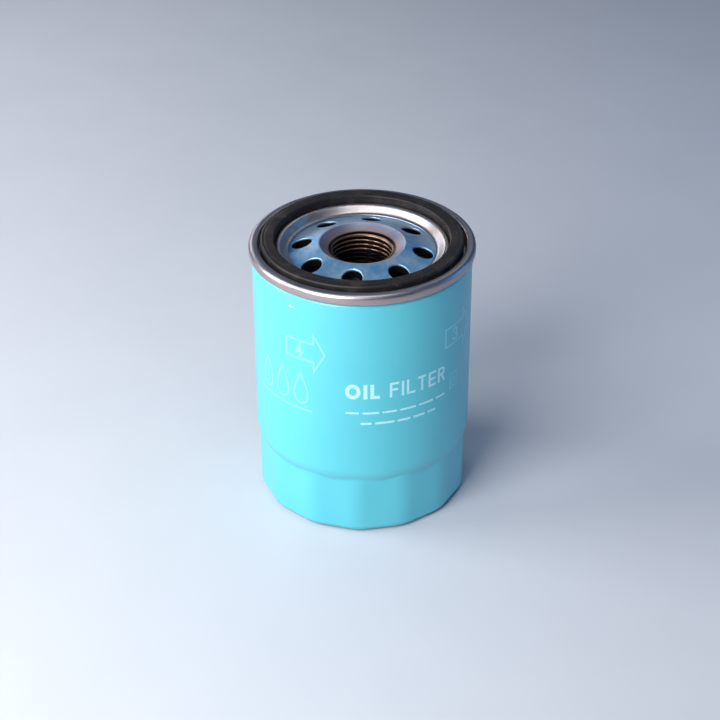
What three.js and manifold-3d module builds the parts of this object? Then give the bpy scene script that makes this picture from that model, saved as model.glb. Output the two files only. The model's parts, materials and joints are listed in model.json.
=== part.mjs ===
// Spin-on oil filter standing on its closed end, threaded end up.
// Millimetres, +Z up, origin in the middle of the standing face.
import * as THREE from 'three';
import { mergeVertices } from 'three/addons/utils/BufferGeometryUtils.js';
import Module from 'manifold-3d';

const wasm = await Module();
wasm.setup();

// Overall
const overallHeight = 86.7; // standing face to the gasket's sealing face
const canRadius = 33.35;
const roundSteps = 42; // three to each wrench flat, so nested sheets share their corners

// Canister
const canSheet = 0.45;
const baseEdgeRadius = 2.5;
const baseRecessRadius = 20;
const baseRecessDepth = 1;
const flatCount = 14;
const flatDepth = 1.15; // how far a wrench flat lies inside the round wall
const flatCornerRadius = 14;
const flatTop = 19.3;
const shoulderTop = 23.5; // the round wall starts to roll in below here
const flatTurn = THREE.MathUtils.degToRad(-3.2);

// Double seam and gasket retainer
const lidSheet = 0.5;
const seamGap = 0.13;
const seamOverhang = 0.9;
const seamHeight = 3.4;
const seamBend = 0.4;
const compoundSpace = 0.35;
const compoundGap = 0.06;
const channelDepth = 3.25; // seam top to the floor the gasket sits on
const lipRise = 2.1;
const lipCrestWidth = 1;
const lipFootWidth = 0.8;
const lipConeGap = 0.5; // foot of the plate's cone to the lip's cut edge
const restGap = 0.1; // between pieces that rest on each other

// Sealing gasket
const gasketProud = 1.15;
const gasketWidth = 4.15;
const gasketOuterGap = 0.68;
const gasketInnerGap = 0.25;
const gasketEdge = 0.5;

// Tapping plate and its M20 x 1.5 thread
const hubDrop = 2.13; // gasket face down to the hub's crest
const plateThickness = 2.6;
const plateSideGap = 0.5;
const threadDiameter = 20;
const threadPitch = 1.5;
const threadSteps = 16;
const neckWall = 2.2;
const neckLength = 10.7;
const funnelDepth = 1.84; // hub's crest down to the mouth of the thread
const hubCrestOffset = 3.2;
const holeCount = 8;
const holeDiameter = 6.2;
const holeHubGap = 2.2;
const coneFootGap = 0.1; // oil holes to the foot of the plate's cone
const holeSteps = 12;
const holeTurn = THREE.MathUtils.degToRad(80.7);

// Anti-drain diaphragm
const collarWall = 2;
const collarHeight = 4.3;
const neckFitGap = 0.3;
const sealHoleGap = 0.6;
const sealWidth = 2;
const diaphragmWall = 1.5;

// Filter element
const elementGap = 4.4; // canister wall to the end caps
const capSheet = 0.4;
const capRim = 4;
const pottingDepth = 1.9;
const tubeNeckGap = 1.3;
const tubeSheet = 0.6;
const tubeHoleDiameter = 4.5;
const tubeHoleRows = 5;
const tubeHoleColumns = 3; // each column of cutters goes through both walls
const tubeHoleSteps = 6;
const paperGap = 0.4;
const paperSheet = 0.6;
const pleatCount = 48;
const clipSheet = 0.25;
const clipLength = 5;
const clipHalfWidth = 0.95;
const capSteps = 30; // facets of the round pieces inside the canister

// Hold-down spring and its seat
const springWire = 1.6;
const springHeight = 8;
const springBottomRadius = 18.5;
const springTopRadius = 12.5;
const springTurns = 3;
const springLift = 0.3;
const seatSheet = 0.5;
const seatOuterRadius = 16;
const seatLip = 1.8;

// Bypass valve
const bypassSheet = 0.5;
const bypassPortRadius = 5.5;
const bypassFlangeGap = 1.1;
const bypassWallGap = 4.1; // centre tube to the valve cage
const bypassHeight = 11.5;
const bypassWindowWidth = 7;
const bypassWindowHeight = 5.5;
const poppetGap = 1.7;
const poppetSheet = 0.6;
const sealSheet = 0.7;
const stemRadius = 1.6;
const stemGap = 0.5;
const bypassWire = 0.8;
const bypassCoilRadius = 4.4;
const bypassTurns = 5;

// Levels and radii that follow from the sizes above
const seamTop = overallHeight - gasketProud;
const seamBottom = seamTop - seamHeight;
const skirtRadius = canRadius + seamOverhang - lidSheet / 2;
const sheetStep = (lidSheet + canSheet) / 2 + seamGap;
const bodyHookRadius = skirtRadius - sheetStep;
const lidHookRadius = bodyHookRadius - sheetStep;
const canNeckRadius = lidHookRadius - sheetStep;
const chuckRadius = canNeckRadius - sheetStep;
const archTop = seamTop - lidSheet - compoundSpace;
const channelFloor = seamTop - channelDepth;

const gasketOuter = chuckRadius - lidSheet / 2 - gasketOuterGap;
const gasketInner = gasketOuter - gasketWidth;
const lipWallRadius = gasketInner - gasketInnerGap - lidSheet / 2;

const hubCrest = overallHeight - hubDrop;
const mouthLevel = hubCrest - funnelDepth;
const flangeTop = channelFloor - lidSheet - restGap;
const plateBottom = flangeTop - plateThickness;
const plateRadius = canNeckRadius - canSheet / 2 - plateSideGap;
const threadMajor = threadDiameter / 2;
const threadDepth = 0.5413 * threadPitch;
const threadMinor = threadMajor - threadDepth;
const neckRadius = threadMajor + neckWall;
const neckBottom = mouthLevel - neckLength;
const hubCrestRadius = threadMajor + hubCrestOffset;
const holeRadius = holeDiameter / 2;
const holeCircle = hubCrestRadius + holeHubGap + holeRadius;
const coneFootRadius = holeCircle + holeRadius + coneFootGap;
const coneSlope = (hubCrest - flangeTop) / (coneFootRadius - hubCrestRadius);

const collarRadius = neckRadius + neckFitGap + collarWall;
const sealInner = holeCircle + holeRadius + sealHoleGap;
const sealOuter = sealInner + sealWidth;

const capTop = neckBottom + capSheet + 0.2;
const springBottom = baseRecessDepth + canSheet + springLift;
const seatBottom = springBottom + springHeight + restGap;
const capBottom = seatBottom + seatSheet + restGap;
const elementRadius = canRadius - canSheet - elementGap;
const tubeInner = neckRadius + tubeNeckGap;
const tubeOuter = tubeInner + tubeSheet;
const tubeBottom = capBottom + capSheet + restGap;
const tubeTop = capTop - capSheet - restGap;
const paperBottom = tubeBottom + pottingDepth + restGap;
const paperTop = tubeTop - pottingDepth - restGap;
const paperInner = tubeOuter + paperGap;
const capFacetShare = Math.cos(Math.PI / capSteps); // a facet's middle lies this much nearer the axis
const paperOuter = (elementRadius - capSheet) * capFacetShare - restGap;

const cageOuter = tubeInner - bypassWallGap;
const cageInner = cageOuter - bypassSheet;
const portTop = tubeBottom + bypassSheet;
const sealBottom = portTop + restGap;
const poppetBottom = sealBottom + sealSheet + restGap;
const poppetTop = poppetBottom + poppetSheet;
const poppetRadius = cageInner - poppetGap;
const cageTop = portTop + restGap + bypassHeight;

function middleLine(corners, steps) {
  // Each corner is [radius, height, bend radius]; a bend becomes a short curve.
  const line = [];
  corners.forEach(([x, y, bend = 0], index) => {
    const corner = new THREE.Vector2(x, y);
    if (bend === 0) {
      line.push(corner);
      return;
    }
    const before = new THREE.Vector2(...corners[index - 1]).sub(corner).setLength(bend).add(corner);
    const after = new THREE.Vector2(...corners[index + 1]).sub(corner).setLength(bend).add(corner);
    line.push(...new THREE.QuadraticBezierCurve(before, corner, after).getPoints(steps));
  });
  return line;
}

function sheetOutline(line, thickness) {
  // The closed outline of a sheet whose middle follows the line.
  const left = [];
  const right = [];
  line.forEach((point, index) => {
    const last = line.length - 1;
    const coming = point.clone().sub(line[Math.max(index - 1, 0)]).normalize();
    const going = line[Math.min(index + 1, last)].clone().sub(point).normalize();
    const along = coming.clone().add(going).normalize();
    const edge = index === 0 ? going : coming;
    const reach = thickness / 2 / along.dot(edge);
    const across = new THREE.Vector2(-along.y, along.x).multiplyScalar(reach);
    left.push(point.clone().add(across));
    right.unshift(point.clone().sub(across));
  });
  return [...left, ...right];
}

function revolve(outline, steps = roundSteps) {
  // Turns a closed outline of radius and height about the Z axis.
  const points = outline.map(([x, y]) => new THREE.Vector2(x, y));
  if (THREE.ShapeUtils.area(points) < 0) {
    points.reverse();
  }
  const startsOnAxis = points.findIndex((point, index) => {
    const previous = points.at(index - 1);
    return Math.abs(point.x) < 1e-9 && Math.abs(previous.x) < 1e-9;
  });
  if (startsOnAxis < 0) {
    points.push(points[0].clone());
  } else {
    points.push(...points.splice(0, startsOnAxis));
  }
  return new THREE.LatheGeometry(points, steps, flatTurn).rotateX(Math.PI / 2);
}

function revolveSheet(corners, thickness, bendSteps, steps) {
  const outline = sheetOutline(middleLine(corners, bendSteps), thickness);
  return revolve(outline.map((point) => [point.x, point.y]), steps);
}

function ring(inner, outer, bottom, top, steps) {
  return revolve([[inner, bottom], [outer, bottom], [outer, top], [inner, top]], steps);
}

function toSolid(geometry) {
  const bare = geometry.index ? geometry.clone() : mergeVertices(geometry);
  bare.deleteAttribute('normal');
  bare.deleteAttribute('uv');
  const merged = mergeVertices(bare);
  return new wasm.Manifold(new wasm.Mesh({
    numProp: 3,
    vertProperties: new Float32Array(merged.attributes.position.array),
    triVerts: new Uint32Array(merged.index.array),
  }));
}

function toGeometry(solid) {
  const mesh = solid.getMesh();
  const geometry = new THREE.BufferGeometry();
  geometry.setAttribute('position', new THREE.BufferAttribute(mesh.vertProperties, 3));
  geometry.setIndex(new THREE.BufferAttribute(mesh.triVerts, 1));
  geometry.computeVertexNormals();
  return geometry;
}

function cut(geometry, cutters) {
  let solid = toSolid(geometry);
  for (const cutter of cutters) {
    solid = solid.subtract(toSolid(cutter));
  }
  return toGeometry(solid);
}

function flatOutline(angle) {
  // Distance from the axis to the rounded many-sided outline of the wrench flats.
  const half = Math.PI / flatCount;
  const inside = canRadius - flatDepth - flatCornerRadius;
  const turn = THREE.MathUtils.euclideanModulo(angle - flatTurn, 2 * half) - half;
  const straight = Math.atan2(inside * Math.tan(half), canRadius - flatDepth);
  if (Math.abs(turn) <= straight) {
    return (canRadius - flatDepth) / Math.cos(turn);
  }
  const centre = inside / Math.cos(half);
  const swing = half - Math.abs(turn);
  return centre * Math.cos(swing) + Math.sqrt(flatCornerRadius ** 2 - (centre * Math.sin(swing)) ** 2);
}

function pressFlats(geometry) {
  // Pushes the wall in to the wrench flats, which run out in the round shoulder above them.
  const position = geometry.attributes.position;
  const standingEdge = canRadius - baseEdgeRadius - canSheet / 4;
  for (let index = 0; index < position.count; index += 1) {
    const x = position.getX(index);
    const y = position.getY(index);
    const radius = Math.hypot(x, y);
    const climb = (position.getZ(index) - flatTop) / (shoulderTop - flatTop);
    const shoulder = flatDepth * (1 - THREE.MathUtils.clamp(climb, 0, 1)) ** 2;
    if (radius > standingEdge) {
      const depth = Math.min(shoulder, canRadius - flatOutline(Math.atan2(x, -y)));
      position.setXY(index, x * (1 - depth / radius), y * (1 - depth / radius));
    }
  }
  return geometry;
}

function canister() {
  const wall = canRadius - canSheet / 2;
  const floor = canSheet / 2;
  const neckDrop = wall - canNeckRadius;
  const corners = [
    [0, floor + baseRecessDepth],
    [baseRecessRadius - 2 * baseRecessDepth, floor + baseRecessDepth],
    [baseRecessRadius, floor],
    [wall, floor, baseEdgeRadius - canSheet / 2],
    ...[0, 0.25, 0.55, 1].map((share) => [wall, THREE.MathUtils.lerp(flatTop, shoulderTop, share)]),
    [wall, seamBottom - neckDrop],
    [canNeckRadius, seamBottom],
    [canNeckRadius, archTop - canSheet / 2, seamBend],
    [bodyHookRadius, archTop - canSheet / 2, seamBend],
    [bodyHookRadius, seamBottom + lidSheet + seamGap + seamBend / 2],
  ];
  return pressFlats(revolveSheet(corners, canSheet, 1));
}

function gasketRetainer() {
  const under = seamBottom + lidSheet / 2;
  const over = seamTop - lidSheet / 2;
  const floor = channelFloor - lidSheet / 2;
  const crest = channelFloor + lipRise - lidSheet / 2;
  const crestInner = lipWallRadius - lipCrestWidth;
  const lipEdge = coneFootRadius + lipConeGap;
  const corners = [
    [lidHookRadius, archTop - canSheet - seamGap - seamBend / 2],
    [lidHookRadius, under, seamBend],
    [skirtRadius, under, seamBend],
    [skirtRadius, over, 2 * seamBend],
    [chuckRadius, over, seamBend],
    [chuckRadius, floor, seamBend],
    [lipWallRadius, floor, seamBend],
    [lipWallRadius, crest, seamBend],
    [crestInner, crest, seamBend],
    [lipEdge + lipFootWidth, floor, seamBend],
    [lipEdge, floor],
  ];
  return revolveSheet(corners, lidSheet, 1);
}

function seamCompound() {
  // Fills the flat space between the lid's bends, over the canister's folded edge.
  const inner = chuckRadius + seamBend + compoundGap;
  const outer = skirtRadius - 2 * seamBend - compoundGap;
  return ring(inner, outer, archTop + compoundGap, seamTop - lidSheet - compoundGap);
}

function sealingGasket() {
  const bottom = channelFloor + restGap;
  return revolve([
    [gasketInner, bottom],
    [gasketOuter, bottom],
    [gasketOuter, overallHeight - gasketEdge],
    [gasketOuter - gasketEdge, overallHeight],
    [gasketInner + gasketEdge, overallHeight],
    [gasketInner, overallHeight - gasketEdge],
  ]);
}

function threadCutter() {
  // A ridge of 60 degree thread form that winds up the bore.
  const crestHalf = threadPitch / 16;
  const overlap = 0.2;
  const rootHalf = crestHalf + (threadDepth + overlap) * Math.tan(Math.PI / 6);
  const section = [
    [threadMinor - overlap, -rootHalf],
    [threadMajor, -crestHalf],
    [threadMajor, crestHalf],
    [threadMinor - overlap, rootHalf],
  ];
  const start = neckBottom - threadPitch;
  const steps = Math.ceil(threadSteps * (mouthLevel + threadPitch - start) / threadPitch);
  const positions = [];
  const faces = [];
  for (let step = 0; step <= steps; step += 1) {
    const angle = flatTurn + (2 * Math.PI * step) / threadSteps;
    const rise = start + (threadPitch * step) / threadSteps;
    for (const [radius, height] of section) {
      positions.push(radius * Math.sin(angle), -radius * Math.cos(angle), rise + height);
    }
  }
  for (let step = 0; step < steps; step += 1) {
    for (let side = 0; side < 4; side += 1) {
      const here = step * 4 + side;
      const next = step * 4 + ((side + 1) % 4);
      faces.push(here, next, here + 4, next, next + 4, here + 4);
    }
  }
  const end = steps * 4;
  faces.push(0, 2, 1, 0, 3, 2);
  faces.push(end, end + 1, end + 2, end, end + 2, end + 3);
  const geometry = new THREE.BufferGeometry();
  geometry.setAttribute('position', new THREE.Float32BufferAttribute(positions, 3));
  geometry.setIndex(faces.reverse());
  return geometry;
}

function oilHoleCutters() {
  const cutters = [];
  for (let hole = 0; hole < holeCount; hole += 1) {
    const angle = holeTurn + (2 * Math.PI * hole) / holeCount;
    const cutter = new THREE.CylinderGeometry(holeRadius, holeRadius, 4 * plateThickness, holeSteps);
    cutter.rotateX(Math.PI / 2);
    cutter.translate(holeCircle * Math.sin(angle), -holeCircle * Math.cos(angle), flangeTop);
    cutters.push(cutter);
  }
  return cutters;
}

function tappingPlate() {
  // A flat flange, a cone that rises to the hub's crest, and a funnel down into the thread.
  const mouth = threadMajor + 0.3;
  const crestEdge = 0.3;
  const underRadius = coneFootRadius - plateThickness * Math.tan(Math.atan(coneSlope) / 2);
  const under = (radius) => plateBottom + (underRadius - radius) * coneSlope;
  const fillet = 1.2;
  const blank = revolve([
    [threadMinor, neckBottom],
    [neckRadius, neckBottom],
    [neckRadius, under(neckRadius) - fillet],
    [neckRadius + 0.3 * fillet, under(neckRadius) - 0.4 * fillet],
    [neckRadius + fillet, under(neckRadius + fillet)],
    [underRadius, plateBottom],
    [plateRadius, plateBottom],
    [plateRadius, flangeTop],
    [coneFootRadius, flangeTop],
    [hubCrestRadius, hubCrest],
    [hubCrestRadius - crestEdge, hubCrest - crestEdge / 2],
    [mouth, mouthLevel],
    [threadMinor, mouthLevel - 1.1],
  ], threadSteps * 2);
  return cut(blank, [threadCutter(), ...oilHoleCutters()]);
}

function antiDrainNeck() {
  const inner = neckRadius + neckFitGap;
  const bottom = capTop + restGap;
  return ring(inner, collarRadius, bottom, bottom + collarHeight, capSteps);
}

function antiDrainLip() {
  const inner = collarRadius + neckFitGap;
  const top = plateBottom - restGap;
  const low = capTop + restGap + collarHeight - diaphragmWall;
  return revolve([
    [inner, low - 0.4],
    [sealInner, top - diaphragmWall - 0.3],
    [sealOuter, top - 0.9],
    [sealOuter, top],
    [sealInner, top],
    [sealInner - 0.8, top - 0.6],
    [inner, low + diaphragmWall - 0.4],
  ], capSteps);
}

function upperEndCap() {
  const plate = capTop - capSheet / 2;
  const collar = neckRadius + neckFitGap + capSheet;
  const rim = elementRadius - capSheet / 2;
  return revolveSheet([
    [collar, capTop - capRim / 2],
    [collar, plate],
    [rim, plate],
    [rim, capTop - capRim],
  ], capSheet, 1, capSteps);
}

function lowerEndCap() {
  const plate = capBottom + capSheet / 2;
  const rim = elementRadius - capSheet / 2;
  return revolveSheet([
    [bypassPortRadius + 2, plate],
    [rim, plate],
    [rim, capBottom + capRim],
  ], capSheet, 1, capSteps);
}

function filterPaper() {
  // One strip folded into pleats; the pleat under the clip is shorter.
  const outline = new THREE.Shape();
  const inside = new THREE.Path();
  const half = Math.PI / pleatCount;
  const place = (path, radius, angle, first) => {
    const x = radius * Math.sin(angle);
    const y = -radius * Math.cos(angle);
    if (first) {
      path.moveTo(x, y);
    } else {
      path.lineTo(x, y);
    }
  };
  for (let pleat = 0; pleat < pleatCount; pleat += 1) {
    const angle = 2 * half * pleat;
    const peak = pleat === 0 ? paperOuter - 3 * clipSheet : paperOuter;
    place(outline, peak, angle - paperSheet / peak, pleat === 0);
    place(outline, peak, angle + paperSheet / peak, false);
    place(outline, paperInner + paperSheet, angle + half, false);
    place(inside, peak - paperSheet, angle, pleat === 0);
    place(inside, paperInner, angle + half - paperSheet / paperInner, false);
    place(inside, paperInner, angle + half + paperSheet / paperInner, false);
  }
  outline.holes.push(inside);
  const depth = paperTop - paperBottom;
  return new THREE.ExtrudeGeometry(outline, { depth, bevelEnabled: false }).translate(0, 0, paperBottom);
}

function mediaSeamClip() {
  // A folded strip over the pleat that faces -Y.
  const back = -paperOuter;
  const open = back + clipLength;
  const outer = clipHalfWidth + clipSheet;
  const shape = new THREE.Shape([
    new THREE.Vector2(-outer, back),
    new THREE.Vector2(outer, back),
    new THREE.Vector2(outer, open),
    new THREE.Vector2(clipHalfWidth, open),
    new THREE.Vector2(clipHalfWidth, back + clipSheet),
    new THREE.Vector2(-clipHalfWidth, back + clipSheet),
    new THREE.Vector2(-clipHalfWidth, open),
    new THREE.Vector2(-outer, open),
  ]);
  const depth = paperTop - paperBottom - 2 * restGap;
  const strip = new THREE.ExtrudeGeometry(shape, { depth, bevelEnabled: false });
  return strip.translate(0, 0, paperBottom + restGap);
}

function centreTube() {
  const tube = ring(tubeInner, tubeOuter, tubeBottom, tubeTop, capSteps);
  const pitch = (paperTop - paperBottom) / tubeHoleRows;
  const cutters = [];
  for (let row = 0; row < tubeHoleRows; row += 1) {
    for (let column = 0; column < tubeHoleColumns; column += 1) {
      const radius = tubeHoleDiameter / 2;
      const cutter = new THREE.CylinderGeometry(radius, radius, 3 * tubeOuter, tubeHoleSteps);
      const stagger = (row % 2) / 2;
      cutter.rotateZ((Math.PI * (column + stagger)) / tubeHoleColumns);
      cutter.translate(0, 0, paperBottom + pitch * (row + 0.5));
      cutters.push(cutter);
    }
  }
  return cut(tube, cutters);
}

class CoilPath extends THREE.Curve {
  // A helix whose first and last turns lie almost flat.
  constructor(startRadius, endRadius, bottom, top, turns) {
    super();
    Object.assign(this, { startRadius, endRadius, bottom, top, turns });
  }

  getPoint(t, target = new THREE.Vector3()) {
    const angle = 2 * Math.PI * this.turns * t;
    const radius = THREE.MathUtils.lerp(this.startRadius, this.endRadius, t);
    const rise = 0.7 * THREE.MathUtils.smoothstep(t, 0, 1) + 0.3 * t;
    const height = THREE.MathUtils.lerp(this.bottom, this.top, rise);
    return target.set(radius * Math.cos(angle), radius * Math.sin(angle), height);
  }
}

function coil(path, wire, stepsPerTurn) {
  const section = new THREE.Shape().absarc(0, 0, wire / 2, 0, 2 * Math.PI);
  const steps = stepsPerTurn * path.turns;
  return new THREE.ExtrudeGeometry(section, { steps, curveSegments: 3, extrudePath: path });
}

function holdDownSpring() {
  const low = springBottom + springWire / 2;
  const high = springBottom + springHeight - springWire / 2;
  return coil(new CoilPath(springBottomRadius, springTopRadius, low, high, springTurns), springWire, 18);
}

function springSeat() {
  const plate = seatBottom + seatSheet / 2;
  const lip = springTopRadius - springWire / 2 - neckFitGap - seatSheet;
  return revolveSheet([
    [lip, seatBottom - seatLip],
    [lip, plate],
    [seatOuterRadius, plate],
  ], seatSheet, 1, capSteps);
}

function bypassSeatPlate() {
  return ring(bypassPortRadius, tubeInner - bypassFlangeGap, tubeBottom, portTop, capSteps);
}

function bypassHousing() {
  const flange = portTop + restGap + bypassSheet / 2;
  const wall = cageOuter - bypassSheet / 2;
  const roof = cageTop - bypassSheet / 2;
  const cage = revolveSheet([
    [tubeInner - bypassFlangeGap, flange],
    [wall, flange],
    [wall, roof],
    [stemRadius + stemGap, roof],
  ], bypassSheet, 1, 24);
  const middle = (portTop + cageTop) / 2;
  const along = new THREE.BoxGeometry(3 * tubeInner, bypassWindowWidth, bypassWindowHeight);
  const across = new THREE.BoxGeometry(bypassWindowWidth, 3 * tubeInner, bypassWindowHeight);
  return cut(cage, [along.translate(0, 0, middle), across.translate(0, 0, middle)]);
}

function bypassSeal() {
  return ring(stemRadius, poppetRadius - 0.2, sealBottom, sealBottom + sealSheet, 24);
}

function bypassPoppet() {
  const rivet = stemRadius - 0.3;
  const hub = bypassCoilRadius - bypassWire - 0.6;
  return revolve([
    [0, sealBottom],
    [rivet, sealBottom],
    [rivet, poppetBottom],
    [poppetRadius, poppetBottom],
    [poppetRadius, poppetTop],
    [hub, poppetTop],
    [hub, poppetTop + 0.8],
    [stemRadius, poppetTop + 0.8],
    [stemRadius, cageTop + 1],
    [0, cageTop + 1.4],
  ], 24);
}

function bypassSpring() {
  const low = poppetTop + restGap + bypassWire / 2;
  const high = cageTop - bypassSheet - restGap - bypassWire / 2;
  return coil(new CoilPath(bypassCoilRadius, bypassCoilRadius, low, high, bypassTurns), bypassWire, 12);
}

const filter = new THREE.Group();

function addPiece(name, geometry, color, roughness, metalness) {
  const material = new THREE.MeshStandardMaterial({ color, roughness, metalness });
  const mesh = new THREE.Mesh(geometry, material);
  mesh.name = name;
  filter.add(mesh);
}

addPiece('canister', canister(), 0x5cc8dc, 0.25, 0.1);
addPiece('gasket_retainer', gasketRetainer(), 0xcfc6c0, 0.3, 1);
addPiece('seam_compound', seamCompound(), 0x7a6a50, 0.8, 0);
addPiece('sealing_gasket', sealingGasket(), 0x1e1d20, 0.6, 0);
addPiece('tapping_plate', tappingPlate(), 0x8fa6bf, 0.4, 0.9);
addPiece('anti_drain_neck', antiDrainNeck(), 0x1a1918, 0.7, 0);
addPiece('anti_drain_lip', antiDrainLip(), 0x1a1918, 0.7, 0);
addPiece('upper_end_cap', upperEndCap(), 0xb8bbb8, 0.4, 0.9);
addPiece('lower_end_cap', lowerEndCap(), 0xb8bbb8, 0.4, 0.9);
const potting = ring.bind(null, tubeOuter + restGap, elementRadius - capSheet - restGap);
addPiece('upper_potting', potting(tubeTop - pottingDepth, tubeTop, capSteps), 0x6b4a2a, 0.6, 0);
addPiece('lower_potting', potting(tubeBottom, tubeBottom + pottingDepth, capSteps), 0x6b4a2a, 0.6, 0);
addPiece('filter_paper', filterPaper(), 0xd9b35f, 0.9, 0);
addPiece('media_seam_clip', mediaSeamClip(), 0xb0b4b6, 0.4, 0.9);
addPiece('centre_tube', centreTube(), 0xa9adae, 0.4, 0.9);
addPiece('hold_down_spring', holdDownSpring(), 0x6f7276, 0.35, 1);
addPiece('spring_seat', springSeat(), 0xaaaeb0, 0.4, 0.9);
addPiece('bypass_seat_plate', bypassSeatPlate(), 0xa9adae, 0.4, 0.9);
addPiece('bypass_housing', bypassHousing(), 0x9ea3a6, 0.4, 0.9);
addPiece('bypass_seal', bypassSeal(), 0x201f1e, 0.7, 0);
addPiece('bypass_poppet', bypassPoppet(), 0xa4a8aa, 0.4, 0.9);
addPiece('bypass_spring', bypassSpring(), 0x7b7e82, 0.35, 1);

export default filter;
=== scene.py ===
import json
import math
import random

import bmesh
import bpy
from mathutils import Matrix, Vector


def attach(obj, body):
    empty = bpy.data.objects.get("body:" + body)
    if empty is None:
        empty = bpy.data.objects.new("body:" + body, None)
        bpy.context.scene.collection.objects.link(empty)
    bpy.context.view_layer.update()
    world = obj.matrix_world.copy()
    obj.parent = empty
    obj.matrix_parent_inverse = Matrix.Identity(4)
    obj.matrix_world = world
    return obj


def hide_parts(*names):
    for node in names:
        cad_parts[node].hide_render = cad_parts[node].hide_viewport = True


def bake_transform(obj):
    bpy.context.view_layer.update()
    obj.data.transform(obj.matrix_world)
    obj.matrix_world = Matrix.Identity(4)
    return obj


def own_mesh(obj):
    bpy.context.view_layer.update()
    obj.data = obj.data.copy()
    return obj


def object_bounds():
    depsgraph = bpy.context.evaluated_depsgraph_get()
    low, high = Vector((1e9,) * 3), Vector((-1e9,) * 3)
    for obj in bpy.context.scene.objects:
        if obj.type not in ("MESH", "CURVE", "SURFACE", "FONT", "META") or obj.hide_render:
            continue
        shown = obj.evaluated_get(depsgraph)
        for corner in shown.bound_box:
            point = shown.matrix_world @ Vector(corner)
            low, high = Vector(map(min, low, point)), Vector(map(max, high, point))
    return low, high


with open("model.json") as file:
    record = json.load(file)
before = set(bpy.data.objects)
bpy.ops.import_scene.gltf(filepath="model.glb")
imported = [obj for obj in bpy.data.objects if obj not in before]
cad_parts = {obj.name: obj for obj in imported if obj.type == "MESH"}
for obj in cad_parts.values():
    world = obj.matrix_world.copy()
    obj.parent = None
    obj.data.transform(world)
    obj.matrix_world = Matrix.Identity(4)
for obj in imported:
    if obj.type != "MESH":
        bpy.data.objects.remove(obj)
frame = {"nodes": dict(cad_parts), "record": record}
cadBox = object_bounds()
mm = 0.001
turn = 2 * math.pi
print("frame loaded:", len(frame["nodes"]), "nodes")

camera = {
    "lens": 93.65,
    "distance": 585.9,
    "elevation": 32.18,
    "roll": -0.2,
    "aim": (-0.76, 0, 42.7),
}

studio = {
    "floorDark": (0.49, 0.53, 0.59, 1),
    "floorLight": (0.53, 0.57, 0.63, 1),
    "floorSize": 6.0,
    "floorGap": 0.02,
    "sky": (0.35, 0.60, 1.0),
    "skyStrength": 0.14,
    # name: azimuth, elevation, distance, width, height, watts, colour
    "lights": {
        "keyLeft": (-36, 34, 540, 330, 420, 4.0, (1.0, 0.96, 0.93)),
        "windowLeft": (-90, 26, 560, 300, 420, 2.6, (1.0, 0.96, 0.94)),
        "topCard": (14, 74, 600, 260, 200, 0.5, (1.0, 0.96, 0.94)),
        "backLeft": (-150, 20, 560, 300, 140, 0.42, (1.0, 0.95, 0.93)),
        "backRight": (158, 46, 580, 240, 200, 0.12, (1.0, 0.95, 0.93)),
        "rightStrip": (62, 9, 520, 50, 280, 0.06, (1.0, 0.80, 0.76)),
        "rightFill": (104, 12, 620, 200, 400, 0.6, (0.08, 0.40, 1.0)),
    },
}


def placeCamera():
    eye = bpy.data.cameras.new("eye")
    eye.lens = camera["lens"]
    eye.clip_start = 0.01
    eye.clip_end = 10
    holder = bpy.data.objects.new("eye", eye)
    bpy.context.scene.collection.objects.link(holder)
    lift = math.radians(camera["elevation"])
    back = Vector((0, -math.cos(lift), math.sin(lift)))
    holder.location = (Vector(camera["aim"]) + back * camera["distance"]) * mm
    holder.rotation_euler = (math.pi / 2 - lift, 0, 0)
    holder.rotation_euler.rotate_axis("Z", math.radians(camera["roll"]))
    bpy.context.scene.camera = holder


def placeLights():
    middle = (cadBox[0] + cadBox[1]) / 2
    for name, values in studio["lights"].items():
        azimuth, elevation, distance, width, height, watts, colour = values
        lamp = bpy.data.lights.new(name, "AREA")
        lamp.shape = "RECTANGLE"
        lamp.size = width * mm
        lamp.size_y = height * mm
        lamp.energy = watts
        lamp.color = colour
        holder = bpy.data.objects.new(name, lamp)
        bpy.context.scene.collection.objects.link(holder)
        a = math.radians(azimuth)
        e = math.radians(elevation)
        away = Vector((math.sin(a) * math.cos(e), -math.cos(a) * math.cos(e), math.sin(e)))
        holder.location = middle + away * distance * mm
        holder.rotation_euler = away.to_track_quat("Z", "Y").to_euler()


def placeFloor():
    mesh = bpy.data.meshes.new("floor")
    half = studio["floorSize"] / 2
    corners = [(-half, -half, 0), (half, -half, 0), (half, half, 0), (-half, half, 0)]
    mesh.from_pydata(corners, [], [(0, 1, 2, 3)])
    floor = bpy.data.objects.new("floor", mesh)
    floor.location.z = cadBox[0].z - studio["floorGap"] * mm
    bpy.context.scene.collection.objects.link(floor)
    mesh.materials.append(paleFloor())
    world = bpy.data.worlds.new("sky")
    world.use_nodes = True
    backdrop = world.node_tree.nodes["Background"]
    backdrop.inputs["Color"].default_value = (*studio["sky"], 1)
    backdrop.inputs["Strength"].default_value = studio["skyStrength"]
    bpy.context.scene.world = world
    bpy.context.scene.view_settings.view_transform = "Standard"


class Signal:
    # One output socket, so that shader maths reads as ordinary arithmetic.
    def __init__(self, finish, socket):
        self.finish = finish
        self.socket = socket

    def maths(self, operation, first, second=0.0):
        return self.finish.maths(operation, first, second)

    def __add__(self, other):
        return self.maths("ADD", self, other)

    def __sub__(self, other):
        return self.maths("SUBTRACT", self, other)

    def __rsub__(self, other):
        return self.maths("SUBTRACT", other, self)

    def __mul__(self, other):
        return self.maths("MULTIPLY", self, other)

    def __pow__(self, other):
        return self.maths("POWER", self, other)

    def __rpow__(self, other):
        return self.maths("POWER", other, self)

    __radd__ = __add__
    __rmul__ = __mul__

    def sine(self):
        return self.maths("SINE", self)

    def clamped(self):
        return self.finish.node("Clamp", {}, {"Value": self})


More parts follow.
